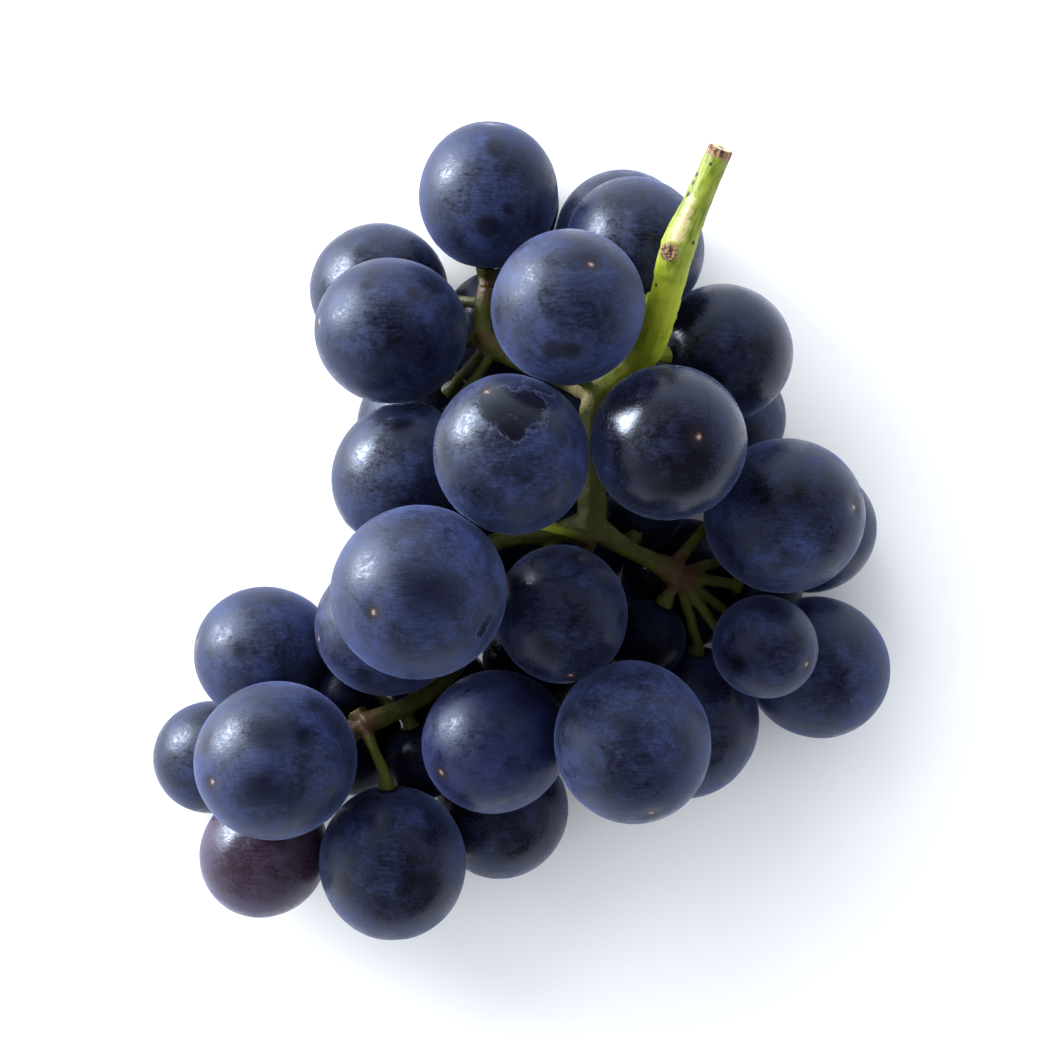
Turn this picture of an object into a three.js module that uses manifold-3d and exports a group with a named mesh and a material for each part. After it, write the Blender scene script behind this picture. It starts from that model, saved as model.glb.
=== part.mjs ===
// A small bunch of blue-black grapes lying on its side, in millimetres.
// X runs across the bunch, Y along it towards the cut end of the stalk, and Z up from the table.
// The green stem is one grown piece: the stalk, its side arms and a thin pedicel for each berry.
// Every berry is a piece of its own, a little longer than wide, with a dimple where its pedicel meets it.
import * as THREE from "three";
import { mergeVertices } from "three/addons/utils/BufferGeometryUtils.js";
import Module from "manifold-3d";

const wasm = await Module();
wasm.setup();

// A berry's own shape.
const BERRY_STRETCH = 1.06; // length over width
const BERRY_SIDES = 16;
const BERRY_RINGS_DEG = [11, 28, 48, 69, 90, 111, 132, 153]; // from the stem end to the tip
const DIMPLE_DEPTH = 0.7;
const DIMPLE_RADIUS = 2.2;
const TIP_DEPTH = 0.25; // the dried flower left a shallow dent at the tip

// How the berries lie against each other and on the table.
const GAP = 0.3;
const PRESS = 0.5; // how far two ripe berries flatten where they touch
const FOOT_DEPTH = 0.16; // the flat spot under a berry that lies on the table
const TABLE_REACH = 1.2; // a berry that settles this near the table lies on it

// The stem's thickness and its small forms.
const PEDICEL_RADIUS = 0.8;
const PEDICEL_ROOT_RADIUS = 1;
const CUSHION_RADIUS = 1.5; // the swollen end that holds the berry
const CUSHION_LENGTH = 1.5;
const CUSHION_SINK = 0.2; // how far the cushion reaches into the berry's dimple
const PEDICEL_SIDES = 6;
const ARM_SIDES = 8;
const STALK_SIDES = 10;
const SHOOT_STEPS = 2; // rings for each point of a shoot

// A shoot broke off at the stalk's knee and left a short stub.
const KNEE = [19, 35.2, 44.7];
const STUB_DIRECTION = [-0.35, -0.2, 0.9];
const STUB_REACH = 3.4;
const STUB_RADIUS = 1.3;

// The stem's shoots: points along each one, and its radius at each point.
const SHOOTS = {
  stalk: {
    points: [[24.3, 47.4, 47], [22, 42.2, 46.4], KNEE, [17.8, 29.7, 41], [15, 22.2, 33.2],
      [9.6, 17.5, 27.4], [8.7, 10.5, 26.3], [8.7, 3.6, 26], [8.4, -1.5, 25.5]],
    radii: [1.65, 1.75, 2.3, 2.1, 2.3, 2.3, 1.9, 2, 2.2],
    sides: STALK_SIDES,
  },
  right_arm: {
    points: [[8.4, 0.6, 25.6], [11.8, -1.9, 24.8], [16.2, -4.2, 23.9], [20.3, -6.4, 23]],
    radii: [1.9, 1.4, 1.1, 1.9],
    sides: ARM_SIDES,
  },
  left_arm: {
    points: [[8.4, 0.6, 25.6], [3.5, -1.1, 25.2], [-2.2, -1.4, 24.4], [-7, -3.6, 22.6], [-7.8, -9.4, 20.3],
      [-8.2, -16.5, 17.6], [-13.5, -22.8, 16.8], [-22.2, -26.8, 19.2]],
    radii: [1.9, 1.4, 1.2, 1.4, 1.3, 1.3, 1.2, 1.5],
    sides: ARM_SIDES,
  },
  middle_arm: {
    points: [[8.4, -0.6, 25.5], [7.2, -5, 20.5], [6.6, -9.5, 17], [9.2, -15, 18.2], [9.4, -20, 21]],
    radii: [1.5, 1.2, 1.1, 1.1, 1.4],
    sides: ARM_SIDES,
  },
  upper_arm: {
    points: [[9.6, 17.5, 27.4], [5, 19.6, 26.8], [-1.4, 22.2, 26], [-5.4, 24.8, 25.2], [-6, 28.4, 24.6],
      [-5.2, 31.8, 24.3]],
    radii: [1.7, 1.3, 1.2, 1.4, 1.1, 1.4],
    sides: ARM_SIDES,
  },
};

// The berries: where the middle of each one is, its width, and the shoot that bears it. tip is the way
// its tip faces, where that shows. The berries that show from above come first, then those under them.
const BERRIES = [
  { at: [-5.1, 44.1, 26], width: 18.6, on: "upper_arm", tip: [0.05, 0.95, 0.3] },
  { at: [13.2, 40, 9.8], width: 19, on: "stalk" },
  { at: [14.5, 36.6, 28], width: 18.6, on: "stalk" },
  { at: [5.2, 27.9, 44], width: 19.6, on: "stalk", tip: [0.27, 0.46, 0.85] },
  { at: [-20.6, 32.9, 9.5], width: 18.8, on: "upper_arm" },
  { at: [-18, 26, 28], width: 19.4, on: "upper_arm", tip: [-0.93, 0.1, 0.35] },
  { at: [-16.3, 6.9, 26], width: 19.2, on: "upper_arm" },
  { at: [-2, 9.3, 42], width: 20, on: "stalk", tip: [-0.29, 0.73, 0.6] },
  { at: [18.1, 10.8, 41], width: 20, on: "stalk", tip: [0.32, 0.04, 0.95] },
  { at: [-13.8, -8.3, 42], width: 22.3, on: "left_arm", tip: [-0.45, -0.2, 0.87] },
  { at: [25.8, 23.6, 25], width: 18.5, on: "stalk" },
  { at: [27.2, 15.2, 8.5], width: 17.4, on: "stalk" },
  { at: [34.1, 1.5, 28], width: 20.6, on: "right_arm", tip: [0.8, 0.1, 0.6] },
  { at: [39.6, -0.4, 8.9], width: 17.7, on: "right_arm" },
  { at: [40.2, -19.6, 10], width: 19.6, on: "right_arm" },
  { at: [31.8, -16, 25], width: 13.8, on: "right_arm", tip: [0.72, -0.3, 0.6] },
  { at: [22.1, -26.7, 11.5], width: 20.6, on: "right_arm" },
  { at: [13.5, -28, 32], width: 20.6, on: "middle_arm", tip: [0.21, -0.82, 0.53] },
  { at: [5.6, -12.6, 27], width: 17.6, on: "left_arm", tip: [0.13, -0.87, 0.48] },
  { at: [-4.1, -28.7, 25], width: 19.1, on: "middle_arm", tip: [-0.71, -0.37, 0.6] },
  { at: [-3.5, -39.6, 9.2], width: 18.3, on: "middle_arm" },
  { at: [-36, -17.8, 12.8], width: 19, on: "left_arm", tip: [-0.95, 0.2, 0.25] },
  { at: [-18.2, -13.2, 22.5], width: 19, on: "left_arm" },
  { at: [-33.3, -31, 28], width: 21, on: "left_arm", tip: [-0.7, -0.2, 0.69] },
  { at: [-43.4, -33, 7.8], width: 15.8, on: "left_arm" },
  { at: [-35.9, -43.6, 14], width: 17.4, on: "left_arm", skin: "reddish" },
  { at: [-18.9, -45.2, 19], width: 20, on: "left_arm", tip: [0.06, -0.96, -0.2] },
  { at: [-14.9, 14.4, 9], width: 17.5, on: "upper_arm" },
  { at: [-4, 25.6, 9.5], width: 17.8, on: "upper_arm", hidden: true },
  { at: [7.5, 11.5, 9.5], width: 18.2, on: "stalk", hidden: true },
  { at: [-5, -3.5, 9.5], width: 18.6, on: "left_arm", hidden: true },
  { at: [19.5, -9.5, 9.3], width: 18, on: "right_arm", hidden: true },
  { at: [5, -20.5, 9.3], width: 18.4, on: "middle_arm", hidden: true },
  { at: [-24.6, -29.8, 7.9], width: 15.4, on: "left_arm", hidden: true },
  { at: [-4.6, 43.5, 9.2], width: 17.8, on: "upper_arm", hidden: true },
  { at: [9.5, -1.5, 7], width: 13.4, on: "middle_arm", hidden: true },
  { at: [-10.4, -23.6, 7.1], width: 14, on: "left_arm", hidden: true },
  { at: [15.5, 2.2, 17], width: 12, on: "right_arm", hidden: true },
  { at: [16, -15.5, 17], width: 10.6, on: "right_arm", hidden: true },
  { at: [-14.4, -33.6, 12.5], width: 10.4, on: "left_arm", hidden: true },
  { at: [-25.2, -21.2, 6.2], width: 11.4, on: "left_arm", hidden: true },
  { at: [31.6, -8.6, 13], width: 9, on: "right_arm", hidden: true },
  { at: [-25.4, -22.2, 16.5], width: 7, on: "left_arm", hidden: true },
];

// How the bunch settles: berries push each other and the stem aside until they only touch.
const SETTLE_PASSES = 5;
const SETTLE_ROUNDS = 240;
const HELD_ROUNDS = 190; // the rounds in which the berries are still drawn to their places
const SEEN_PULL = new THREE.Vector3(0.2, 0.2, 0.04); // how hard a berry that shows keeps its place
const HIDDEN_PULL = new THREE.Vector3(0.01, 0.01, 0.01);
const HIDDEN_GIVES_WAY = 0.8; // a hidden berry's share when it and one that shows move apart
const STEM_CLEARANCE = 0.4;
const BEAD_SPACING = 0.7;
const PEDICEL_POINTS = 8;
const PEDICEL_TURNS = 3;
const PEDICEL_EASE = 0.6; // how far a berry turns towards its pedicel at each of those turns
const ROUTE_ROUNDS = 200;

const vector = (list) => new THREE.Vector3(...list);

// A closed geometry as a solid, and a solid as a geometry.
function solidOf(geometry) {
  const bare = geometry.clone();
  bare.deleteAttribute("normal");
  bare.deleteAttribute("uv");
  const merged = mergeVertices(bare, 1e-4);
  return new wasm.Manifold(
    new wasm.Mesh({
      numProp: 3,
      vertProperties: new Float32Array(merged.attributes.position.array),
      triVerts: new Uint32Array(merged.index.array),
    }),
  );
}

function geometryOf(solid) {
  const mesh = solid.getMesh();
  const geometry = new THREE.BufferGeometry();
  const corners = new Float32Array(mesh.vertProperties);
  geometry.setAttribute("position", new THREE.BufferAttribute(corners, mesh.numProp));
  geometry.setIndex(new THREE.BufferAttribute(new Uint32Array(mesh.triVerts), 1));
  return geometry;
}

// A round shoot follows a smooth curve through its points, and its radius changes evenly between them.
const curveOf = (points) => new THREE.CatmullRomCurve3(points, false, "centripetal");

function radiusAt(curve, radii, share) {
  const along = curve.getUtoTmapping(share) * (radii.length - 1);
  const before = Math.min(Math.floor(along), radii.length - 2);
  return THREE.MathUtils.lerp(radii[before], radii[before + 1], along - before);
}

// The shoot's surface: the rings of an upright cylinder are carried onto the curve.
function shootGeometry(points, radii, sides, steps) {
  const curve = curveOf(points);
  const frames = curve.computeFrenetFrames(steps);
  const geometry = new THREE.CylinderGeometry(1, 1, 1, sides, steps);
  const position = geometry.attributes.position;
  for (let i = 0; i < position.count; i++) {
    const step = Math.round((0.5 - position.getY(i)) * steps);
    const out = frames.normals[step].clone().multiplyScalar(position.getX(i));
    out.addScaledVector(frames.binormals[step], position.getZ(i));
    out.multiplyScalar(radiusAt(curve, radii, step / steps));
    const spot = curve.getPointAt(step / steps).add(out);
    position.setXYZ(i, spot.x, spot.y, spot.z);
  }
  return geometry;
}

// Round beads along a shoot, which keep the berries off it.
function beadsOf(points, radii) {
  const curve = curveOf(points);
  const count = Math.ceil(curve.getLength() / BEAD_SPACING);
  const beads = [];
  for (let k = 0; k <= count; k++) {
    beads.push({ spot: curve.getPointAt(k / count), radius: radiusAt(curve, radii, k / count) });
  }
  return beads;
}

const shootBeads = {};
for (const [name, shoot] of Object.entries(SHOOTS)) {
  shootBeads[name] = beadsOf(shoot.points.map(vector), shoot.radii);
}
const stemBeads = Object.values(shootBeads).flat();

const berries = BERRIES.map((berry, index) => ({
  ...berry,
  name: "berry_" + String(index + 1).padStart(2, "0"),
  home: vector(berry.at),
  spot: vector(berry.at),
  radius: ((berry.width / 2) * (2 + BERRY_STRETCH)) / 3,
  pull: berry.hidden ? HIDDEN_PULL : SEEN_PULL,
  axis: berry.tip && vector(berry.tip).normalize(),
  beads: [],
}));

// Two middles nearer than the distance move apart, the first by its share and the second by the rest.
function pushApart(first, second, distance, share) {
  const between = second.clone().sub(first);
  const overlap = distance - between.length();
  if (overlap <= 0) return;
  between.normalize();
  first.addScaledVector(between, -overlap * share);
  second.addScaledVector(between, overlap * (1 - share));
}

function settle() {
  for (let round = 0; round < SETTLE_ROUNDS; round++) {
    for (const berry of round < HELD_ROUNDS ? berries : []) {
      berry.spot.add(berry.home.clone().sub(berry.spot).multiply(berry.pull));
    }
    for (let i = 0; i < berries.length; i++) {
      for (const other of berries.slice(i + 1)) {
        const berry = berries[i];
        const uneven = berry.hidden ? HIDDEN_GIVES_WAY : 1 - HIDDEN_GIVES_WAY;
        const share = berry.hidden === other.hidden ? 0.5 : uneven;
        pushApart(berry.spot, other.spot, berry.radius + other.radius - PRESS, share);
      }
    }
    for (const berry of berries) {
      const others = berries.filter((other) => other !== berry);
      for (const bead of [...stemBeads, ...others.flatMap((other) => other.beads)]) {
        const room = berry.radius + bead.radius + STEM_CLEARANCE;
        pushApart(berry.spot, bead.spot.clone(), room, 1);
      }
      berry.spot.z = Math.max(berry.spot.z, berry.radius);
    }
  }
}

// The pedicel runs from the nearest point of the shoot to the berry's stem end, round the other berries.
// A berry whose tip doesn't show turns until its pedicel meets it straight.
function routePedicel(berry, turns) {
  const behind = berry.spot.clone();
  if (berry.tip) behind.addScaledVector(berry.axis, -berry.radius * 1.5);
  const distance = (bead) => bead.spot.distanceTo(behind);
  const nearest = (best, bead) => (distance(bead) < distance(best) ? bead : best);
  const root = shootBeads[berry.on].reduce(nearest).spot;
  berry.axis ??= berry.spot.clone().sub(root).normalize();
  const reach = (berry.width / 2) * BERRY_STRETCH - CUSHION_SINK;
  for (let turn = 0; turn < turns; turn++) {
    const end = berry.spot.clone().addScaledVector(berry.axis, -reach);
    const neck = end.clone().addScaledVector(berry.axis, -CUSHION_LENGTH);
    const line = [];
    for (let k = 0; k < PEDICEL_POINTS - 1; k++) {
      line.push(root.clone().lerp(neck, k / (PEDICEL_POINTS - 2)));
    }
    line.push(end);
    for (let round = 0; round < ROUTE_ROUNDS; round++) {
      for (let k = 1; k < PEDICEL_POINTS - 2; k++) {
        line[k].lerp(line[k - 1].clone().lerp(line[k + 1], 0.5), 0.5);
        for (const other of berries) {
          const room = other.radius + PEDICEL_RADIUS + STEM_CLEARANCE;
          pushApart(line[k], other.spot.clone(), room, 1);
        }
      }
    }
    berry.line = line;
    if (berry.tip) break;
    const arrival = end.clone().sub(line[PEDICEL_POINTS - 3]).normalize();
    if (turns > 1) berry.axis = berry.axis.clone().lerp(arrival, PEDICEL_EASE).normalize();
  }
  berry.lineRadii = berry.line.map(() => PEDICEL_RADIUS);
  berry.lineRadii[0] = PEDICEL_ROOT_RADIUS;
  berry.lineRadii[PEDICEL_POINTS - 1] = CUSHION_RADIUS;
  berry.beads = beadsOf(berry.line, berry.lineRadii);
}

// A berry turned about its own axis, from the dimple at its stem end to the dent at its tip.
function berryGeometry(berry) {
  const half = berry.width / 2;
  const profile = [new THREE.Vector2(0, -half * BERRY_STRETCH + DIMPLE_DEPTH)];
  for (const degrees of BERRY_RINGS_DEG) {
    const angle = THREE.MathUtils.degToRad(degrees);
    const out = half * Math.sin(angle);
    const dimple = degrees < 90 ? DIMPLE_DEPTH * Math.exp(-((out / DIMPLE_RADIUS) ** 2)) : 0;
    profile.push(new THREE.Vector2(out, -half * BERRY_STRETCH * Math.cos(angle) + dimple));
  }
  profile.push(new THREE.Vector2(0, half * BERRY_STRETCH - TIP_DEPTH));
  const geometry = new THREE.LatheGeometry(profile, BERRY_SIDES);
  const upright = new THREE.Vector3(0, 1, 0);
  geometry.applyQuaternion(new THREE.Quaternion().setFromUnitVectors(upright, berry.axis));
  geometry.translate(berry.spot.x, berry.spot.y, berry.spot.z);
  return geometry;
}

// A berry that settles near the table comes down onto it.
function layDown(berry) {
  const geometry = berryGeometry(berry);
  geometry.computeBoundingBox();
  const underside = geometry.boundingBox.min.z;
  berry.lies = underside < TABLE_REACH;
  if (berry.lies) berry.spot.z -= underside + FOOT_DEPTH;
}

// Where two berries touch, each one is flattened against the plane between them.
function flatten(geometry, berry) {
  const position = geometry.attributes.position;
  const spot = new THREE.Vector3();
  for (const other of berries) {
    const towards = other.spot.clone().sub(berry.spot);
    const distance = towards.length();
    if (other === berry || distance > berry.width + other.width) continue;
    towards.normalize();
    const plane = (distance * berry.width) / (berry.width + other.width) - GAP / 2;
    for (let i = 0; i < position.count; i++) {
      spot.fromBufferAttribute(position, i);
      const past = spot.clone().sub(berry.spot).dot(towards) - plane;
      spot.addScaledVector(towards, -Math.max(past, 0));
      position.setXYZ(i, spot.x, spot.y, spot.z);
    }
  }
}

// The space under the table's top, which gives a berry that lies on it a small flat spot.
const tableGeometry = new THREE.BoxGeometry(200, 200, 20);
tableGeometry.translate(0, 0, -10);
const underTable = solidOf(tableGeometry);

function berrySolid(berry) {
  const geometry = berryGeometry(berry);
  flatten(geometry, berry);
  const solid = solidOf(geometry);
  return berry.lies ? solid.subtract(underTable) : solid;
}

function stemSolid() {
  const solids = [];
  for (const shoot of Object.values(SHOOTS)) {
    const steps = shoot.points.length * SHOOT_STEPS;
    solids.push(solidOf(shootGeometry(shoot.points.map(vector), shoot.radii, shoot.sides, steps)));
  }
  const knee = vector(KNEE);
  const stubEnd = knee.clone().addScaledVector(vector(STUB_DIRECTION).normalize(), STUB_REACH);
  solids.push(solidOf(shootGeometry([knee, stubEnd], [STUB_RADIUS, STUB_RADIUS], ARM_SIDES, 2)));
  for (const { line, lineRadii } of berries) {
    solids.push(solidOf(shootGeometry(line, lineRadii, PEDICEL_SIDES, PEDICEL_POINTS - 1)));
  }
  return solids.reduce((whole, solid) => whole.add(solid));
}

for (let pass = 0; pass < SETTLE_PASSES; pass++) {
  settle();
  berries.forEach((berry) => routePedicel(berry, PEDICEL_TURNS));
}
berries.forEach(layDown);
berries.forEach((berry) => routePedicel(berry, 1));

const blueSkin = new THREE.MeshStandardMaterial({ color: 0x27305a, roughness: 0.45, metalness: 0 });
const reddishSkin = new THREE.MeshStandardMaterial({ color: 0x4b3755, roughness: 0.45, metalness: 0 });
const green = new THREE.MeshStandardMaterial({ color: 0x9bb343, roughness: 0.6, metalness: 0 });

const bunch = new THREE.Group();
bunch.name = "bunch_of_grapes";
for (const berry of berries) {
  const skin = berry.skin === "reddish" ? reddishSkin : blueSkin;
  const mesh = new THREE.Mesh(geometryOf(berrySolid(berry)), skin);
  mesh.name = berry.name;
  bunch.add(mesh);
}
const stem = new THREE.Mesh(geometryOf(stemSolid()), green);
stem.name = "stem";
bunch.add(stem);

// The origin is on the table, under the middle of the bunch.
const middle = new THREE.Box3().setFromObject(bunch).getCenter(new THREE.Vector3());
for (const piece of bunch.children) {
  piece.geometry.translate(-middle.x, -middle.y, 0);
}

export default bunch;
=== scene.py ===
import math

import bmesh
import bpy
import numpy as np
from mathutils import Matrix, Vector
from mathutils.kdtree import KDTree


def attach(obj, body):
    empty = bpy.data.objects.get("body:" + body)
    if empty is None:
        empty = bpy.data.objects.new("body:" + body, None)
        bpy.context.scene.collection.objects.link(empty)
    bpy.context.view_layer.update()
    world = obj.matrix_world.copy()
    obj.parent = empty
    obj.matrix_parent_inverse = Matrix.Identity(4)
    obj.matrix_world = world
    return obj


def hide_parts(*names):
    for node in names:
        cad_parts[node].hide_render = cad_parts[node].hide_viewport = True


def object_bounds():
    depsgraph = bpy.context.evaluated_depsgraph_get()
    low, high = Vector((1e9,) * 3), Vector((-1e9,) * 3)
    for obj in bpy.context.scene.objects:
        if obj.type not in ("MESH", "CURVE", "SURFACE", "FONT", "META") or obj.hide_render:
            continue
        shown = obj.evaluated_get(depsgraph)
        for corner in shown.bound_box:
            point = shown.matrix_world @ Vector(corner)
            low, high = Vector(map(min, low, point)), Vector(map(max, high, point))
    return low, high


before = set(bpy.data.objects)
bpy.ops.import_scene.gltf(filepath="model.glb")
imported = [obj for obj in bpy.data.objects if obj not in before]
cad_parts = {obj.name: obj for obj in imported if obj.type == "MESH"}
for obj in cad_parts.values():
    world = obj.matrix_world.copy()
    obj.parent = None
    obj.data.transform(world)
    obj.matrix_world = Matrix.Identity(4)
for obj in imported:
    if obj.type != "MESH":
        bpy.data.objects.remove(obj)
cad_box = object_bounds()

# The berries' places
# The solids say where each berry is: its dimple and its tip are the two corners where many faces meet.
# Both the stem's cushions and the berries' fine skins are set on these.
MM = 0.001
DIMPLE_DEPTH = 0.7 * MM
TIP_DEPTH = 0.25 * MM
POLE_FACES = 12
SAME_CORNER = 1e-6


def welded(node):
    shape = bmesh.new()
    shape.from_mesh(bpy.data.objects[node].data)
    bmesh.ops.remove_doubles(shape, verts=shape.verts, dist=SAME_CORNER)
    return shape


stem_shape = welded("stem")
stem_tree = KDTree(len(stem_shape.verts))
for corner in stem_shape.verts:
    stem_tree.insert(corner.co, corner.index)
stem_tree.balance()


def berry_place(node):
    shape = welded(node)
    poles = [corner.co.copy() for corner in shape.verts if len(corner.link_faces) >= POLE_FACES]
    poles.sort(key=lambda pole: stem_tree.find(pole)[2])
    corners = np.array([corner.co[:] for corner in shape.verts])
    shape.free()
    # The ball that fits the corners best gives the middle, unless the berry has a tip to measure from.
    fit = np.linalg.lstsq(np.c_[2 * corners, np.ones(len(corners))], (corners**2).sum(1), rcond=None)[0]
    middle = Vector(fit[:3])
    dimple = poles[0]
    axis = (middle - dimple).normalized()
    if len(poles) > 1:
        axis = (poles[1] - dimple).normalized()
        reach = ((poles[1] - dimple).length + DIMPLE_DEPTH + TIP_DEPTH) / 2
        middle = dimple + axis * (reach - DIMPLE_DEPTH)
    reach = (middle - dimple).length + DIMPLE_DEPTH
    return {"middle": middle, "axis": axis, "reach": reach, "dimple": dimple}


berries = {node: berry_place(node) for node in sorted(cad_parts) if node.startswith("berry")}

# The stem
# A fresh green shoot, grown in one piece: the cut stalk, its side arms and a pedicel for each berry.
# It is fleshy and smooth, swells at its knots, and is brown and corky where it was cut or broken.
SKIN_GRID = 0.235 * MM
ROUNDING_STEPS = 5
# Places are in mm from the middle of the bunch on the table, and each has its reach in mm.
KNOTS = [
    ((8.4, -1, 25.5), 4),
    ((20.3, -6.4, 23), 6),
    ((-22.2, -26.8, 19.2), 4.5),
    ((9.4, -20, 21), 4.5),
    ((-5.4, 24.8, 25.2), 3),
    ((-5.2, 31.8, 24.3), 4),
]
# Where the skin split and healed pale: the junction of the upper arm, and a line above the stub.
PALE_SPOTS = [
    ((7.4, 17.8, 27), 4),
    ((20.5, 41, 47.8), 1.3),
    ((20, 39.6, 47.8), 1.5),
    ((19.5, 38.2, 47.6), 1.7),
    ((18.9, 36.9, 47.3), 1.9),
]
# Small black scars on the stalk.
SCARS = [
    ((21.4, 44.3, 47.4), 0.5),
    ((20.9, 43.3, 47.3), 0.5),
    ((20.2, 41.9, 47.2), 0.6),
    ((23, 45.5, 48.5), 0.4),
    ((20.8, 35.9, 46.4), 0.5),
    ((16.5, 30.8, 43.2), 0.4),
    ((19.4, 31.2, 42.8), 0.45),
]
BUNCH_OFFSET = Vector((0.956, 0.821, 0)) * MM
CUT_END = (24.3, 47.4, 47)
BEFORE_CUT = (22, 42.2, 46.4)
STALK_LOW = (0, 0, 42)
STUB_END = (17.8, 34.5, 47.7)
CUSHION_REACH = 3.2 * MM
# The knife went through the stalk at a slant, so that the cut face looks upwards, and left the
# stalk a little longer than the solid's.
SLANT = 0.22
SLANT_REACH = 2.2 * MM
SLANT_REST = 1.6 * MM
END_GROWTH = 0.75 * MM
END_REACH = 7 * MM
# Brown cork rings the cut end and caps the stub. The cut face is pale pith with a dark middle.
CUT_CORK = 2.4 * MM
STUB_CORK = 1.9 * MM
FACE_DEPTH = 0.45 * MM
PITH_RADIUS = 1.25 * MM
CORE_RADIUS = 0.8 * MM
# Below its end the stalk is painted a brighter, yellower green, as painted light against the berries'
# shade, and lower in the bunch the stem is painted dark olive, as painted shade of the berries (heights in
# mm).
PAINTED_LIGHT_HEIGHT = 47
PAINTED_LIGHT_FADE = 5
PAINTED_LIGHT_MOST = 0.75
PAINTED_SHADE_HEIGHTS = (36, 28)
PAINTED_SHADE_MOST = 0.92
# The stem's streaks run along the stalk, and are much longer than wide.
STALK_TURN = -0.36
STREAK_STRETCH = 8
FRESH_GREENS = ((0.13, 0.175, 0.008), (0.19, 0.235, 0.016))
LIGHT_STREAK = (0.26, 0.3, 0.06)
DARK_STREAK = (0.07, 0.12, 0.006)
GREEN_GRAIN = (0.12, 0.19, 0.012)
# Painted light: brighter, yellower greens that lift the stalk below its end against the berries' shade.
PAINTED_LIGHT_GREENS = ((0.32, 0.385, 0.015), (0.46, 0.52, 0.033))
# Painted shade: dark olives for the stem where the berries shade it.
SHADE_OLIVES = ((0.015, 0.012, 0.003), (0.027, 0.029, 0.0045))
SHADE_OLIVE_STREAK = (0.045, 0.043, 0.009)
HEALED_SKIN = (0.42, 0.36, 0.17)
KNOT_BROWN = (0.06, 0.02, 0.012)
CORK_BROWNS = ((0.03, 0.012, 0.008), (0.3, 0.18, 0.1))
PALE_PITH = (0.55, 0.43, 0.28)
SCAR_BLACK = (0.012, 0.008, 0.006)


def node(tree, kind, inputs=None, **settings):
    made = tree.nodes.new(kind)
    for name, value in settings.items():
        setattr(made, name, value)
    for name, value in (inputs or {}).items():
        if isinstance(value, bpy.types.NodeSocket):
            tree.links.new(value, made.inputs[name])
        else:
            made.inputs[name].default_value = value
    return made


def math_node(tree, operation, first, second=0.0, third=0.0):
    return node(tree, "ShaderNodeMath", {0: first, 1: second, 2: third}, operation=operation).outputs[0]


def plus(tree, first, second):
    return math_node(tree, "ADD", first, second)


def minus(tree, first, second):
    return math_node(tree, "SUBTRACT", first, second)


def times(tree, first, second):
    return math_node(tree, "MULTIPLY", first, second)


def noise(tree, place, size, detail=2.0, roughness=0.5, distortion=0.0):
    sockets = {"Vector": place, "Scale": 1 / size, "Detail": detail, "Roughness": roughness}
    sockets["Distortion"] = distortion
    return node(tree, "ShaderNodeTexNoise", sockets).outputs[0]


def step(tree, value, low, high, start=0.0, end=1.0):
    sockets = {"Value": value, "From Min": low, "From Max": high, "To Min": start, "To Max": end}
    return node(tree, "ShaderNodeMapRange", sockets, interpolation_type="SMOOTHSTEP").outputs[0]


def mix(tree, share, first, second):
    made = node(tree, "ShaderNodeMix", {0: share}, data_type="RGBA")
    for index, value in ((6, first), (7, second)):
        if isinstance(value, bpy.types.NodeSocket):
            tree.links.new(value, made.inputs[index])
        else:
            made.inputs[index].default_value = (*value, 1)
    return made.outputs[2]


def sway(tree, field, strength):
    return times(tree, minus(tree, field, 0.5), strength)


def swayed(tree, value, field, strength):
    return plus(tree, value, sway(tree, field, strength))


def attribute(tree, name):
    return node(tree, "ShaderNodeAttribute", attribute_name=name).outputs["Fac"]


def new_material(name):
    material = bpy.data.materials.new(name)
    material.use_nodes = True
    tree = material.node_tree
    shader = tree.nodes["Principled BSDF"]
    place = node(tree, "ShaderNodeTexCoord").outputs["Object"]
    return material, tree, shader, place


def bump(tree, shader, height, distance, strength):
    sockets = {"Height": height, "Distance": distance, "Strength": strength}
    tree.links.new(node(tree, "ShaderNodeBump", sockets).outputs[0], shader.inputs["Normal"])


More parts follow.
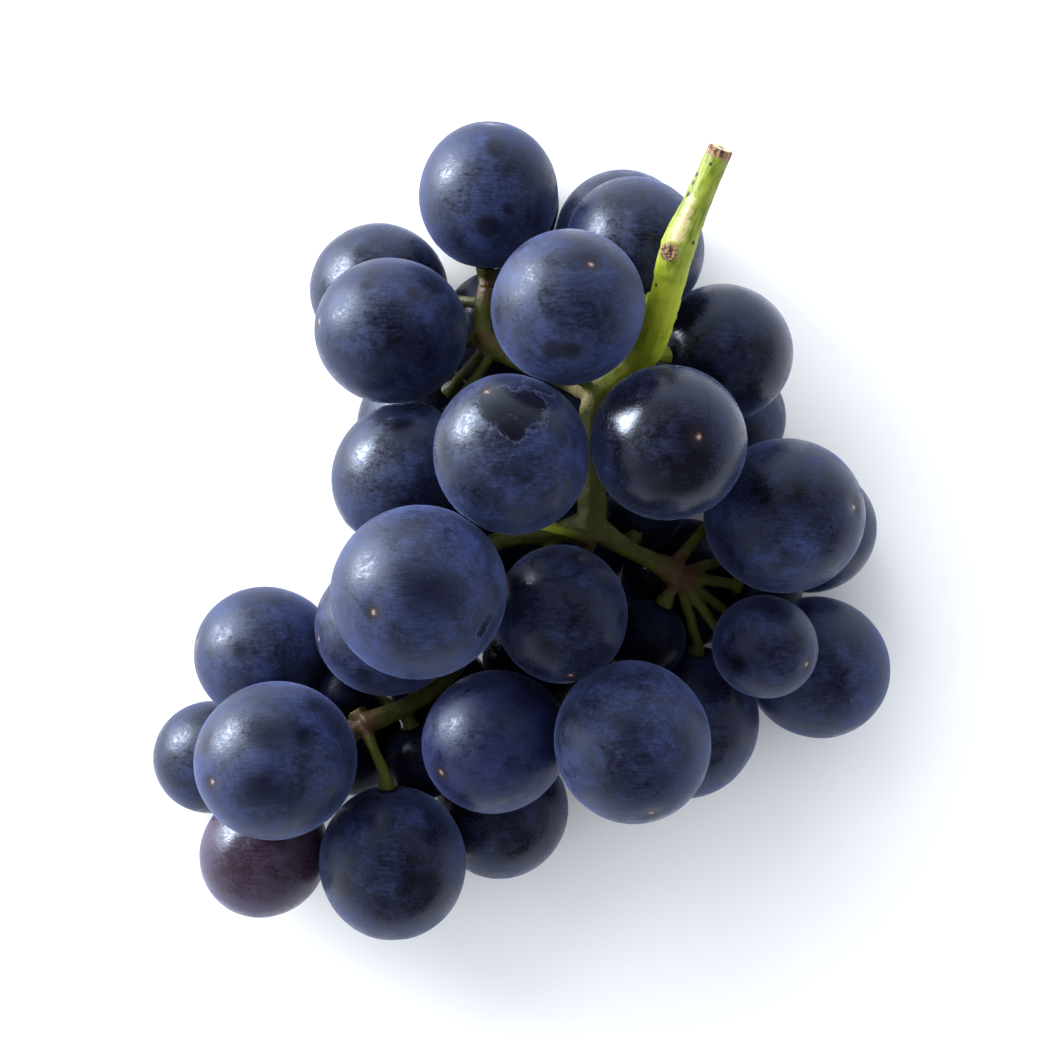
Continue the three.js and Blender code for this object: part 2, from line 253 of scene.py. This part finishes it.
def green_stem():
    material, tree, shader, place = new_material("green_stem")
    sockets = {"Vector": place, "Rotation": (0, 0, STALK_TURN), "Scale": (1, STREAK_STRETCH, 1)}
    along = node(tree, "ShaderNodeMapping", sockets, vector_type="TEXTURE").outputs[0]
    patches = noise(tree, place, 5 * MM, 3, 0.6)
    streaks = noise(tree, along, 0.45 * MM, 3, 0.55)
    grain = noise(tree, place, 0.3 * MM, 4, 0.6)
    green = mix(tree, step(tree, patches, 0.35, 0.65), *FRESH_GREENS)
    green = mix(tree, step(tree, streaks, 0.48, 0.66, 0, 0.6), green, LIGHT_STREAK)
    green = mix(tree, step(tree, streaks, 0.34, 0.48, 0.8, 0), green, DARK_STREAK)
    green = mix(tree, step(tree, grain, 0.52, 0.66, 0, 0.35), green, GREEN_GRAIN)
    # Painted shade: the stem in the berries' shade is painted dark olive.
    shade_olive = mix(tree, step(tree, patches, 0.4, 0.6), *SHADE_OLIVES)
    shade_olive = mix(tree, step(tree, streaks, 0.5, 0.75, 0, 0.5), shade_olive, SHADE_OLIVE_STREAK)
    # Painted light: below its end the stalk is brightened towards a yellower green.
    green = mix(tree, attribute(tree, "painted_light"), green, mix(tree, patches, *PAINTED_LIGHT_GREENS))
    green = mix(tree, attribute(tree, "painted_shade"), green, shade_olive)
    healed = step(tree, swayed(tree, attribute(tree, "pale"), grain, 0.7), 0.2, 0.7)
    green = mix(tree, healed, green, HEALED_SKIN)
    knotty = step(tree, swayed(tree, attribute(tree, "knot"), grain, 0.8), 0.3, 0.75)
    green = mix(tree, times(tree, knotty, 0.8), green, KNOT_BROWN)
    ragged = swayed(tree, attribute(tree, "cork"), streaks, 0.8)
    corky = step(tree, swayed(tree, ragged, grain, 0.6), 0.4, 0.6)
    cork = mix(tree, step(tree, swayed(tree, grain, streaks, 0.8), 0.4, 0.62), *CORK_BROWNS)
    colour = mix(tree, corky, green, cork)
    pith = step(tree, swayed(tree, attribute(tree, "pith"), grain, 0.3), 0.4, 0.6)
    colour = mix(tree, pith, colour, PALE_PITH)
    colour = mix(tree, step(tree, attribute(tree, "scar"), 0.1, 0.5), colour, SCAR_BLACK)
    tree.links.new(colour, shader.inputs["Base Color"])
    tree.links.new(step(tree, corky, 0, 1, 0.5, 0.85), shader.inputs["Roughness"])
    shader.inputs["Specular IOR Level"].default_value = 0.25
    shader.inputs["Subsurface Weight"].default_value = 0.12
    shader.inputs["Subsurface Radius"].default_value = (0.4, 0.6, 0.15)
    shader.inputs["Subsurface Scale"].default_value = 1.2 * MM
    bump(tree, shader, math_node(tree, "MULTIPLY_ADD", streaks, 0.9, grain), 0.14 * MM, 0.6)
    return material


def plain_mesh(thing, name):
    bpy.context.view_layer.update()
    graph = bpy.context.evaluated_depsgraph_get()
    finished = thing.evaluated_get(graph)
    mesh = bpy.data.meshes.new_from_object(finished, preserve_all_data_layers=True, depsgraph=graph)
    mesh.name = name
    # A blank has no material, and leaves an empty slot in front of the skin's.
    if len(mesh.materials) > 1 and mesh.materials[0] is None:
        mesh.materials.pop(index=0)
    return mesh


def placed(name, mesh):
    piece = bpy.data.objects.new(name, mesh)
    bpy.context.scene.collection.objects.link(piece)
    return piece


def positions(mesh):
    flat = np.empty(len(mesh.vertices) * 3)
    mesh.vertices.foreach_get("co", flat)
    return flat.reshape(-1, 3)


def set_attribute(mesh, name, values):
    field = mesh.attributes.new(name, "FLOAT", "POINT")
    field.data.foreach_set("value", np.asarray(values, dtype=np.float32))


stem_mesh = bpy.data.meshes.new("stem_blank")
stem_shape.to_mesh(stem_mesh)
stem_shape.free()
blank = placed("stem_blank", stem_mesh)
even = blank.modifiers.new("even", "REMESH")
even.mode = "VOXEL"
even.voxel_size = SKIN_GRID
even.use_smooth_shade = True
rounded = blank.modifiers.new("rounded", "SMOOTH")
rounded.factor = 0.5
rounded.iterations = ROUNDING_STEPS
grown_mesh = plain_mesh(blank, "grown_stem")
bpy.data.objects.remove(blank)


def to_part(place):
    return Vector(place) * MM + BUNCH_OFFSET


def near(points, spots):
    closeness = np.zeros(len(points))
    for spot, reach in spots:
        distance = np.linalg.norm(points - np.array(spot), axis=1)
        closeness = np.maximum(closeness, 1 - distance / reach)
    return np.clip(closeness, 0, 1)


def near_marks(points, marks):
    return near(points, [(to_part(spot), reach * MM) for spot, reach in marks])


points = positions(grown_mesh)
set_attribute(grown_mesh, "knot", near_marks(points, KNOTS))
cut_spot = np.array(to_part(CUT_END))
cut_axis = np.array((to_part(CUT_END) - to_part(BEFORE_CUT)).normalized())
behind_cut = (points - cut_spot) @ cut_axis
on_stalk = points[:, 2] > to_part(STALK_LOW).z
slant = SLANT * np.clip(1 + behind_cut / SLANT_REACH, 0, 1) * on_stalk
slant = slant * (points[:, 2] - cut_spot[2] + SLANT_REST)
points = points - np.outer(slant, cut_axis)
at_stub = np.linalg.norm(points - np.array(to_part(STUB_END)), axis=1)
cork = np.clip(1.1 + behind_cut / CUT_CORK, 0, 1)
cork = np.maximum(cork, np.clip(1.15 - at_stub / STUB_CORK, 0, 1))
set_attribute(grown_mesh, "cork", cork)
from_core = np.linalg.norm(points - cut_spot - np.outer(behind_cut, cut_axis), axis=1)
on_face = behind_cut > -FACE_DEPTH
set_attribute(grown_mesh, "pith", np.clip(1.66 - from_core / PITH_RADIUS, 0, 1) * on_face)
longer = END_GROWTH * np.clip(1 + behind_cut / END_REACH, 0, 1) * on_stalk
points = points + np.outer(longer, cut_axis)
grown_mesh.vertices.foreach_set("co", points.ravel())
core = np.clip(1 - from_core / CORE_RADIUS, 0, 1) * on_face
set_attribute(grown_mesh, "scar", np.maximum(near_marks(points, SCARS), core))
set_attribute(grown_mesh, "pale", near_marks(points, PALE_SPOTS))
heights = points[:, 2] / MM
# Painted light on the stalk below its end, fading in over a few mm of height.
set_attribute(grown_mesh, "painted_light", np.clip((PAINTED_LIGHT_HEIGHT - heights) / PAINTED_LIGHT_FADE, 0, PAINTED_LIGHT_MOST))
# Painted shade: below a height inside the bunch the stem is darkened to olive.
outer, painted_shade = PAINTED_SHADE_HEIGHTS
set_attribute(grown_mesh, "painted_shade", np.clip((outer - heights) / (outer - painted_shade), 0, PAINTED_SHADE_MOST))
dimples = [(berry["dimple"], CUSHION_REACH) for berry in berries.values()]
set_attribute(grown_mesh, "cushion", near(points, dimples))


def group(name, inputs):
    tree = bpy.data.node_groups.new(name, "GeometryNodeTree")
    tree.interface.new_socket("Geometry", in_out="INPUT", socket_type="NodeSocketGeometry")
    for label, kind in inputs.items():
        tree.interface.new_socket(label, in_out="INPUT", socket_type="NodeSocket" + kind)
    tree.interface.new_socket("Geometry", in_out="OUTPUT", socket_type="NodeSocketGeometry")
    entry = tree.nodes.new("NodeGroupInput").outputs
    leave = tree.nodes.new("NodeGroupOutput").inputs
    return tree, entry, leave


def stored(tree, name):
    return node(tree, "GeometryNodeInputNamedAttribute", {"Name": name}, data_type="FLOAT").outputs[0]


def close_group(tree, geometry, entry, leave):
    whole = node(tree, "GeometryNodeRealizeInstances", {"Geometry": geometry}).outputs[0]
    sockets = {"Geometry": whole, "Material": entry["Skin"]}
    whole = node(tree, "GeometryNodeSetMaterial", sockets).outputs[0]
    tree.links.new(whole, leave["Geometry"])


def grown(name, mesh, tree, values):
    blank = placed(name + "_blank", mesh)
    modifier = blank.modifiers.new(tree.name, "NODES")
    modifier.node_group = tree
    for item in tree.interface.items_tree:
        if item.in_out == "INPUT" and item.name in values:
            modifier[item.identifier] = values[item.name]
    piece = placed(name, plain_mesh(blank, name))
    bpy.data.objects.remove(blank)
    return piece


# The stem's skin rises and sinks gently along its length, and swells at the knots.
inputs = {"Unevenness": "Float", "Patch size": "Float", "Knot height": "Float", "Skin": "Material"}
swell, entry, leave = group("stem_swelling", inputs)
spot = swell.nodes.new("GeometryNodeInputPosition").outputs[0]
scale = math_node(swell, "DIVIDE", 1.0, entry["Patch size"])
wave = node(swell, "ShaderNodeTexNoise", {"Vector": spot, "Scale": scale, "Detail": 2.0}).outputs[0]
wave = times(swell, minus(swell, wave, 0.5), entry["Unevenness"])
lift = plus(swell, wave, times(swell, stored(swell, "knot"), entry["Knot height"]))
normal = swell.nodes.new("GeometryNodeInputNormal").outputs[0]
push = node(swell, "ShaderNodeVectorMath", {0: normal, "Scale": lift}, operation="SCALE").outputs[0]
moved = node(swell, "GeometryNodeSetPosition", {"Geometry": entry["Geometry"], "Offset": push}).outputs[0]
close_group(swell, moved, entry, leave)

values = {"Unevenness": 0.45 * MM, "Patch size": 2.2 * MM, "Knot height": 0.25 * MM, "Skin": green_stem()}
stem = grown("green_stem", grown_mesh, swell, values)
stem.data.shade_smooth()
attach(stem, "root")
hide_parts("stem")

# The lenticels
# The stem breathes through small corky dots. They are few and dark on the stalk and the arms, and
# crowd on the cushions that carry the berries.
DOTS_PER_SQUARE_METRE = 60000.0
CROWDING = 3.0
DOT_SIZE = 0.11 * MM
DOT_SHAPES = ((0.5, 0.5, 0.25), (1.0, 1.6, 0.5))
DOT_BROWNS = ((0.012, 0.008, 0.005), (0.07, 0.045, 0.02))


def cork_dot():
    material, tree, shader, place = new_material("cork_dot")
    grain = noise(tree, place, 0.15 * MM, 2)
    tree.links.new(mix(tree, grain, *DOT_BROWNS), shader.inputs["Base Color"])
    shader.inputs["Roughness"].default_value = 0.8
    return material


inputs = {"Density": "Float", "Seed": "Int", "Size": "Float", "Skin": "Material"}
dots, entry, leave = group("lenticels", inputs)
crowd = math_node(dots, "MULTIPLY_ADD", stored(dots, "cushion"), CROWDING, 1.0)
crowd = times(dots, crowd, entry["Density"])
sockets = {"Mesh": entry["Geometry"], "Density": crowd, "Seed": entry["Seed"]}
spread = node(dots, "GeometryNodeDistributePointsOnFaces", sockets).outputs
bead = node(dots, "GeometryNodeMeshIcoSphere", {"Radius": 1.0, "Subdivisions": 2}).outputs[0]
sockets = {"Min": DOT_SHAPES[0], "Max": DOT_SHAPES[1], "Seed": entry["Seed"]}
chance = node(dots, "FunctionNodeRandomValue", sockets, data_type="FLOAT_VECTOR").outputs[0]
sockets = {0: chance, "Scale": entry["Size"]}
size = node(dots, "ShaderNodeVectorMath", sockets, operation="SCALE").outputs[0]
sockets = {"Points": spread["Points"], "Instance": bead, "Rotation": spread["Rotation"], "Scale": size}
beads = node(dots, "GeometryNodeInstanceOnPoints", sockets).outputs[0]
close_group(dots, beads, entry, leave)

values = {"Density": DOTS_PER_SQUARE_METRE, "Seed": 5, "Size": DOT_SIZE, "Skin": cork_dot()}
lenticels = grown("lenticels", stem.data.copy(), dots, values)
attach(lenticels, "root")

# The berries
# Ripe table grapes: tight blue-black skin under a pale blue waxy bloom, which rubs off where they touch.
# Each hangs on its cushion at the dimple, has the dried flower's scar at its tip, and is pressed flat
# where it meets its neighbours or the table.
SIDES = 80
RINGS = 48
SKIN_INSET = 0.04 * MM
BERRY_STRETCH = 1.06
DIMPLE_RADIUS = 2.2 * MM
UNEVENNESS = 0.03
SEED_STRIDE = 3.7
GAP = 0.1 * MM
CONTACT_EDGE = 0.12 * MM
TOUCH_REACH = 0.9 * MM
NEIGHBOUR_REACH = 1.15
RUB_SPREAD = 1.5
# Where the bloom was smeared: to the right, up (in half widths), how far (in mm) and how hard.
SMEARS = {
    "berry_01": [(0.12, 0.56, 1.4, 1.3), (0.01, -0.53, 1.4, 1.3), (0.29, -0.3, 0.7, 0.9)],
    "berry_04": [(-0.2, -0.6, 1.2, 1.3), (0.02, -0.62, 1.2, 1.3), (0.1, 0.1, 3.4, 0.2)],
    "berry_06": [(-0.3, 0.55, 1.0, 0.8), (0.35, 0.45, 1.2, 0.7)],
    "berry_07": [(0.0, 0.62, 1.6, 0.9)],
    "berry_09": [(-0.33, -0.38, 1.4, 0.8), (-0.16, -0.6, 1.1, 0.8), (0.25, 0.05, 2.6, 0.6)],
    "berry_10": [(-0.62, -0.45, 0.5, 1), (0.14, 0.02, 4.0, 0.5), (-0.1, 0.25, 3.0, 0.45)],
    "berry_13": [(0.1, 0.1, 2.6, 0.3), (0.9, 0.14, 1.0, 1)],
    "berry_16": [(-0.58, -0.31, 1.4, 0.9)],
    "berry_18": [(0.3, -0.36, 2.2, 0.4), (-0.1, 0.3, 1.8, 0.25)],
    "berry_19": [(0.25, 0.83, 1.2, 0.9), (-0.27, -0.49, 1.8, 0.8)],
    "berry_20": [(-0.35, -0.65, 0.9, 0.9), (0.1, -0.75, 1.0, 0.9), (0.35, -0.7, 0.8, 0.9)],
    "berry_22": [(-0.3, 0.12, 1.6, 0.5)],
    "berry_24": [(-0.02, 0.42, 2.8, 0.65), (0.4, 0.38, 1.6, 0.8), (-0.05, -0.2, 3.2, 0.6)],
    "berry_27": [(-0.72, -0.2, 1.4, 0.9), (0.52, -0.13, 1.6, 0.8)],
}
# Where it tore off, with flakes left along the edge.
TEARS = {
    "berry_08": [(-0.17, 0.58, 2.5, 1), (0.2, 0.55, 2.7, 1), (0.02, 0.3, 1.6, 1), (0.35, 0.83, 1.8, 1)],
    "berry_10": [(0.8, -0.3, 1.1, 1), (0.73, -0.43, 1.0, 1)],
}
# How thick the bloom is.
WAX = {
    "berry_01": 0.72,
    "berry_04": 0.78,
    "berry_06": 0.6,
    "berry_07": 0.64,
    "berry_08": 0.64,
    "berry_09": 0.22,
    "berry_10": 0.74,
    "berry_11": 0.34,
    "berry_13": 0.56,
    "berry_15": 0.74,
    "berry_16": 0.6,
    "berry_17": 0.56,
    "berry_18": 0.68,
    "berry_20": 0.65,
    "berry_22": 0.78,
    "berry_23": 0.6,
    "berry_24": 0.72,
    "berry_25": 0.58,
    "berry_27": 0.56,
}
USUAL_WAX = 0.5
MOST_WAX = 1.3
# The berries from this one on are inside the bunch, in the others' shelter, and their skin is painted
# darker, as painted shade.
FIRST_INNER = 29
# Each skin's colours: where it is bare, under thin bloom, and under thick bloom.
BLUE_BLACK = ((0.0024, 0.0013, 0.0028), (0.0074, 0.0088, 0.028), (0.025, 0.037, 0.12))
VIOLET = ((0.0035, 0.0023, 0.009), (0.0085, 0.0105, 0.047), (0.019, 0.024, 0.1))
PURPLE_RED = ((0.03, 0.011, 0.018), (0.046, 0.026, 0.05), (0.085, 0.06, 0.115))
# Painted shade: the blue-black skin's colours, darkened for the berries inside the bunch.
SHADED = ((0.0015, 0.0012, 0.0022), (0.0035, 0.0045, 0.014), (0.009, 0.013, 0.038))
FLAKE = (0.06, 0.075, 0.12)
SPECK = (0.12, 0.11, 0.12)
# The tip's scar is pale in the middle, brown round that, and dark at the rim.
TIP_RIM = (0.012, 0.008, 0.009)
TIP_BROWN = (0.085, 0.032, 0.02)
TIP_MIDDLE = (0.3, 0.24, 0.2)


def bloomed_skin(name, colours, shine=0.32, fuzz=0.2):
    bare, blue, pale = colours
    material, tree, shader, place = new_material(name)
    broad = noise(tree, place, 6.5 * MM, 1)
    cloud = noise(tree, place, 2.2 * MM, 6, 0.68, 0.6)
    grain = noise(tree, place, 0.45 * MM, 2, 0.6)
    sockets = {"Vector": place, "Rotation": (0.2, 0.1, 0.15), "Scale": (0.1, 1, 1)}
    brushed = node(tree, "ShaderNodeMapping", sockets).outputs[0]
    brush = noise(tree, brushed, 0.3 * MM, 2, 0.6)
    wax = attribute(tree, "wax")
    for field, strength in ((broad, 1.4), (cloud, 1.6), (grain, 0.7), (brush, 0.8)):
        wax = swayed(tree, wax, field, strength)
    # The bloom is torn or smeared with a ragged edge, and flakes of it stay along a torn one.
    ragged = plus(tree, sway(tree, cloud, 1.3), sway(tree, grain, 0.5))
    tear = attribute(tree, "tear")
    torn = step(tree, plus(tree, tear, ragged), 0.3, 0.4)
    flake = step(tree, plus(tree, tear, ragged), 0.12, 0.28)
    flake = times(tree, minus(tree, flake, torn), step(tree, tear, 0.02, 0.12))
    torn = times(tree, torn, step(tree, tear, 0.02, 0.12))
    smear = attribute(tree, "smear")
    smeared = step(tree, plus(tree, smear, ragged), 0.04, 0.75, 0, 0.78)
    smeared = times(tree, smeared, step(tree, smear, 0, 0.2))
    scraped = math_node(tree, "MAXIMUM", times(tree, torn, 0.85), smeared)
    worn = math_node(tree, "MAXIMUM", times(tree, attribute(tree, "touch"), 0.7), scraped)
    wax = times(tree, wax, math_node(tree, "MULTIPLY_ADD", worn, -0.9, 1.0))
    wax = node(tree, "ShaderNodeClamp", {"Value": wax, "Max": MOST_WAX}).outputs[0]
    colour = mix(tree, step(tree, wax, 0, 0.6), bare, blue)
    colour = mix(tree, step(tree, wax, 0.45, MOST_WAX), colour, pale)
    flake = times(tree, flake, step(tree, grain, 0.42, 0.58, 0, 0.7))
    colour = mix(tree, flake, colour, FLAKE)
    from_tip = swayed(tree, attribute(tree, "from_tip"), grain, 0.7)
    colour = mix(tree, step(tree, from_tip, 0.5, 1.8, 0.85, 0), colour, TIP_RIM)
    colour = mix(tree, step(tree, from_tip, 0.4, 0.6, 0.9, 0), colour, TIP_BROWN)
    colour = mix(tree, step(tree, from_tip, 0.2, 0.32, 0.9, 0), colour, TIP_MIDDLE)
    sockets = {"Vector": place, "Scale": 1 / (2.6 * MM)}
    specks = node(tree, "ShaderNodeTexVoronoi", sockets).outputs["Distance"]
    colour = mix(tree, step(tree, specks, 0.015, 0.04, 0.4, 0), colour, SPECK)
    tree.links.new(colour, shader.inputs["Base Color"])
    tree.links.new(step(tree, wax, 0, 1, 0.22, 0.6), shader.inputs["Roughness"])
    shader.inputs["Diffuse Roughness"].default_value = 1.0
    shader.inputs["Specular IOR Level"].default_value = shine
    shader.inputs["Specular Tint"].default_value = (0.66, 0.78, 1.0, 1)
    shader.inputs["Sheen Weight"].default_value = fuzz
    shader.inputs["Sheen Roughness"].default_value = 0.4
    shader.inputs["Sheen Tint"].default_value = (0.34, 0.46, 1.0, 1)
    bump(tree, shader, plus(tree, grain, brush), 0.05 * MM, 0.4)
    return material


# The tree starts from a ball with its poles at the dimple, below, and the tip, above.
inputs = {
    "Half width": "Float",
    "Reach": "Float",
    "Dimple depth": "Float",
    "Dimple radius": "Float",
    "Tip dent": "Float",
    "Unevenness": "Float",
    "Seed": "Float",
    "Turn": "Vector",
    "Place": "Vector",
    "Skin": "Material",
}
ripe, entry, leave = group("ripe_berry", inputs)
ball = node(ripe, "GeometryNodeMeshUVSphere", {"Segments": SIDES, "Rings": RINGS, "Radius": 1.0}).outputs[0]
spot = ripe.nodes.new("GeometryNodeInputPosition").outputs[0]
axes = node(ripe, "ShaderNodeSeparateXYZ", {0: spot}).outputs
sockets = {"Vector": spot, "W": entry["Seed"], "Scale": 1.1, "Detail": 1.0}
wave = node(ripe, "ShaderNodeTexNoise", sockets, noise_dimensions="4D").outputs[0]
swelling = math_node(ripe, "MULTIPLY_ADD", minus(ripe, wave, 0.5), entry["Unevenness"], 1.0)
half = times(ripe, entry["Half width"], swelling)
across = times(ripe, axes[0], half)
deep = times(ripe, axes[1], half)
out = plus(ripe, times(ripe, across, across), times(ripe, deep, deep))
out = math_node(ripe, "SQRT", out)
low = math_node(ripe, "LESS_THAN", axes[2], 0.0)
high = minus(ripe, 1.0, low)
bell = math_node(ripe, "DIVIDE", out, entry["Dimple radius"])
bell = math_node(ripe, "EXPONENT", times(ripe, times(ripe, bell, bell), -1.0))
dimple = times(ripe, times(ripe, bell, entry["Dimple depth"]), low)
narrow = math_node(ripe, "POWER", bell, 3.0)
dent = times(ripe, times(ripe, narrow, entry["Tip dent"]), high)
height = times(ripe, axes[2], entry["Reach"])
height = minus(ripe, plus(ripe, height, dimple), dent)
shaped = node(ripe, "ShaderNodeCombineXYZ", {0: across, 1: deep, 2: height}).outputs[0]
# The skin reads how far it is from the tip, in mm. The lower half is out of the scar's reach.
from_tip = math_node(ripe, "MULTIPLY_ADD", low, 100.0, times(ripe, out, 1 / MM))
sockets = {"Geometry": ball, "Name": "from_tip", "Value": from_tip}
settings = {"data_type": "FLOAT", "domain": "POINT"}
berry = node(ripe, "GeometryNodeStoreNamedAttribute", sockets, **settings).outputs[0]
berry = node(ripe, "GeometryNodeSetPosition", {"Geometry": berry, "Position": shaped}).outputs[0]
turn = node(ripe, "FunctionNodeEulerToRotation", {0: entry["Turn"]}).outputs[0]
sockets = {"Geometry": berry, "Translation": entry["Place"], "Rotation": turn}
berry = node(ripe, "GeometryNodeTransform", sockets).outputs[0]
berry = node(ripe, "GeometryNodeSetShadeSmooth", {"Geometry": berry}).outputs[0]
close_group(ripe, berry, entry, leave)

blue_skin = bloomed_skin("blue_black_skin", BLUE_BLACK)
violet_skin = bloomed_skin("violet_skin", VIOLET)
red_skin = bloomed_skin("purple_red_skin", PURPLE_RED)
# Painted shade: the inner berries get the darkened skin, with a weaker reflection and sheen.
shaded_skin = bloomed_skin("shaded_skin", SHADED, shine=0.1, fuzz=0.05)
SKINS = {"berry_26": red_skin, "berry_20": violet_skin}


def pressed(points, berry, others):
    touch = np.zeros(len(points))
    middle = np.array(berry["middle"])
    for other in others:
        away = np.array(other["middle"]) - middle
        distance = np.linalg.norm(away)
        if other is berry or distance > NEIGHBOUR_REACH * (berry["reach"] + other["reach"]):
            continue
        away /= distance
        plane = distance * berry["reach"] / (berry["reach"] + other["reach"]) - GAP / 2
        past = (points - middle) @ away - plane
        held = 0.5 * (np.sqrt(past**2 + CONTACT_EDGE**2) - past)
        points = points - np.outer(past + held, away)
        touch = np.maximum(touch, np.exp(-((held / TOUCH_REACH) ** 2)))
    return points, touch


def rubbed(points, berry, spots):
    amount = np.zeros(len(points))
    for right, up, reach, strength in spots:
        towards = np.array((right, up, math.sqrt(1 - right * right - up * up)))
        spot = np.array(berry["middle"]) + towards * berry["reach"] / BERRY_STRETCH
        nearness = 1 - np.linalg.norm(points - spot, axis=1) / (reach * MM * RUB_SPREAD)
        amount = np.maximum(amount, strength * nearness)
    return amount


low_corner, high_corner = (np.array(corner) for corner in cad_box)
for index, (name, berry) in enumerate(berries.items()):
    is_inner = int(name[-2:]) >= FIRST_INNER
    values = {
        "Half width": berry["reach"] / BERRY_STRETCH - SKIN_INSET,
        "Reach": berry["reach"] - SKIN_INSET,
        "Dimple depth": DIMPLE_DEPTH,
        "Dimple radius": DIMPLE_RADIUS,
        "Tip dent": TIP_DEPTH,
        "Unevenness": UNEVENNESS,
        "Seed": index * SEED_STRIDE,
        "Turn": Vector((0, 0, 1)).rotation_difference(berry["axis"]).to_euler(),
        "Place": berry["middle"],
        "Skin": SKINS.get(name, shaded_skin if is_inner else blue_skin),
    }
    piece = grown("grape_" + name[-2:], bpy.data.meshes.new(name + "_blank"), ripe, values)
    points, touch = pressed(positions(piece.data), berry, berries.values())
    set_attribute(piece.data, "smear", rubbed(points, berry, SMEARS.get(name, [])))
    set_attribute(piece.data, "tear", rubbed(points, berry, TEARS.get(name, [])))
    set_attribute(piece.data, "touch", touch)
    set_attribute(piece.data, "wax", np.full(len(points), WAX.get(name, USUAL_WAX)))
    points = np.clip(points, low_corner, high_corner)
    piece.data.vertices.foreach_set("co", points.ravel())
    piece.data.update()
    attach(piece, "root")
    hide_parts(name)

# The table
# A wide white surface that the bunch lies on. It is matt and all but even, and nothing else
# stands on it.
TABLE_HALF = 2.0
TABLE_SINK = 0.02 * MM
TABLE_WHITES = ((0.86, 0.865, 0.875), (0.9, 0.9, 0.9))
table_mesh = bpy.data.meshes.new("table")
sides = ((-1, -1), (1, -1), (1, 1), (-1, 1))
corners = [(x * TABLE_HALF, y * TABLE_HALF, -TABLE_SINK) for x, y in sides]
table_mesh.from_pydata(corners, [], [(0, 1, 2, 3)])
table = placed("table", table_mesh)
material, tree, shader, place = new_material("white_table")
white = mix(tree, noise(tree, place, 300 * MM), *TABLE_WHITES)
tree.links.new(white, shader.inputs["Base Color"])
shader.inputs["Roughness"].default_value = 0.75
table_mesh.materials.append(material)

# The daylight
# A compact window low on the left, a broader one above it, and a white room that is
# bright near the table, more so on the windows' side, and dim overhead.
DAYLIGHT = (0.97, 0.985, 1.0)
ROOM_COLOUR = (0.89, 0.93, 1.0, 1)
ZENITH = 0.05
HORIZON = 4.6
SUNNY_SIDE = (-0.62, 0.78, 0)


def soft_light(name, towards, distance, width, power, lights, mirrored):
    light = bpy.data.lights.new(name, "AREA")
    light.shape = "SQUARE"
    light.size = width
    light.energy = power
    light.color = DAYLIGHT
    holder = bpy.data.objects.new(name, light)
    holder.visible_diffuse = lights
    holder.visible_glossy = mirrored
    direction = Vector(towards).normalized()
    holder.location = direction * distance
    holder.rotation_euler = direction.to_track_quat("Z", "Y").to_euler()
    bpy.context.scene.collection.objects.link(holder)


# Towards, distance and width in metres, power in watts, whether it lights, and whether it is mirrored.
soft_light("window", (-0.86, 0.48, 0.2), 0.9, 0.4, 11, True, False)
soft_light("window_panes", (-0.86, 0.48, 0.15), 0.9, 0.45, 42, False, True)
soft_light("high_window", (-0.5, 0.65, 0.5), 1.2, 1.0, 13, True, False)
soft_light("ceiling", (-0.1, 0.2, 1), 1.2, 1.5, 3.5, True, False)

world = bpy.data.worlds.new("white_room")
world.use_nodes = True
tree = world.node_tree
towards = node(tree, "ShaderNodeTexCoord").outputs["Generated"]
height = node(tree, "ShaderNodeSeparateXYZ", {0: towards}).outputs[2]
near_table = minus(tree, 1.0, math_node(tree, "ABSOLUTE", height))
sockets = {0: towards, 1: SUNNY_SIDE}
sunny = node(tree, "ShaderNodeVectorMath", sockets, operation="DOT_PRODUCT").outputs["Value"]
# Seen as a reflection the room is darker, and more so away from the windows.
mirrored = node(tree, "ShaderNodeLightPath").outputs["Is Glossy Ray"]
even = math_node(tree, "MULTIPLY_ADD", mirrored, -0.39, 0.73)
tilt = math_node(tree, "MULTIPLY_ADD", mirrored, 0.05, 0.27)
side = math_node(tree, "MULTIPLY_ADD", sunny, tilt, even)
strength = math_node(tree, "MULTIPLY_ADD", times(tree, near_table, side), HORIZON, ZENITH)
background = tree.nodes["Background"]
tree.links.new(strength, background.inputs["Strength"])
background.inputs["Color"].default_value = ROOM_COLOUR
bpy.context.scene.world = world
bpy.context.scene.view_settings.view_transform = "Standard"

# The camera
# It looks straight down on the bunch from 40 cm above the table.
# Its view is 15 cm wide at the table.
CAMERA_HEIGHT = 0.4
VIEW_WIDTH = 0.1503
camera = bpy.data.cameras.new("camera")
camera.sensor_width = 36
camera.lens = camera.sensor_width * CAMERA_HEIGHT / VIEW_WIDTH
camera_place = bpy.data.objects.new("camera", camera)
camera_place.location = BUNCH_OFFSET + Vector((0, 0, CAMERA_HEIGHT))
bpy.context.scene.collection.objects.link(camera_place)
bpy.context.scene.camera = camera_place
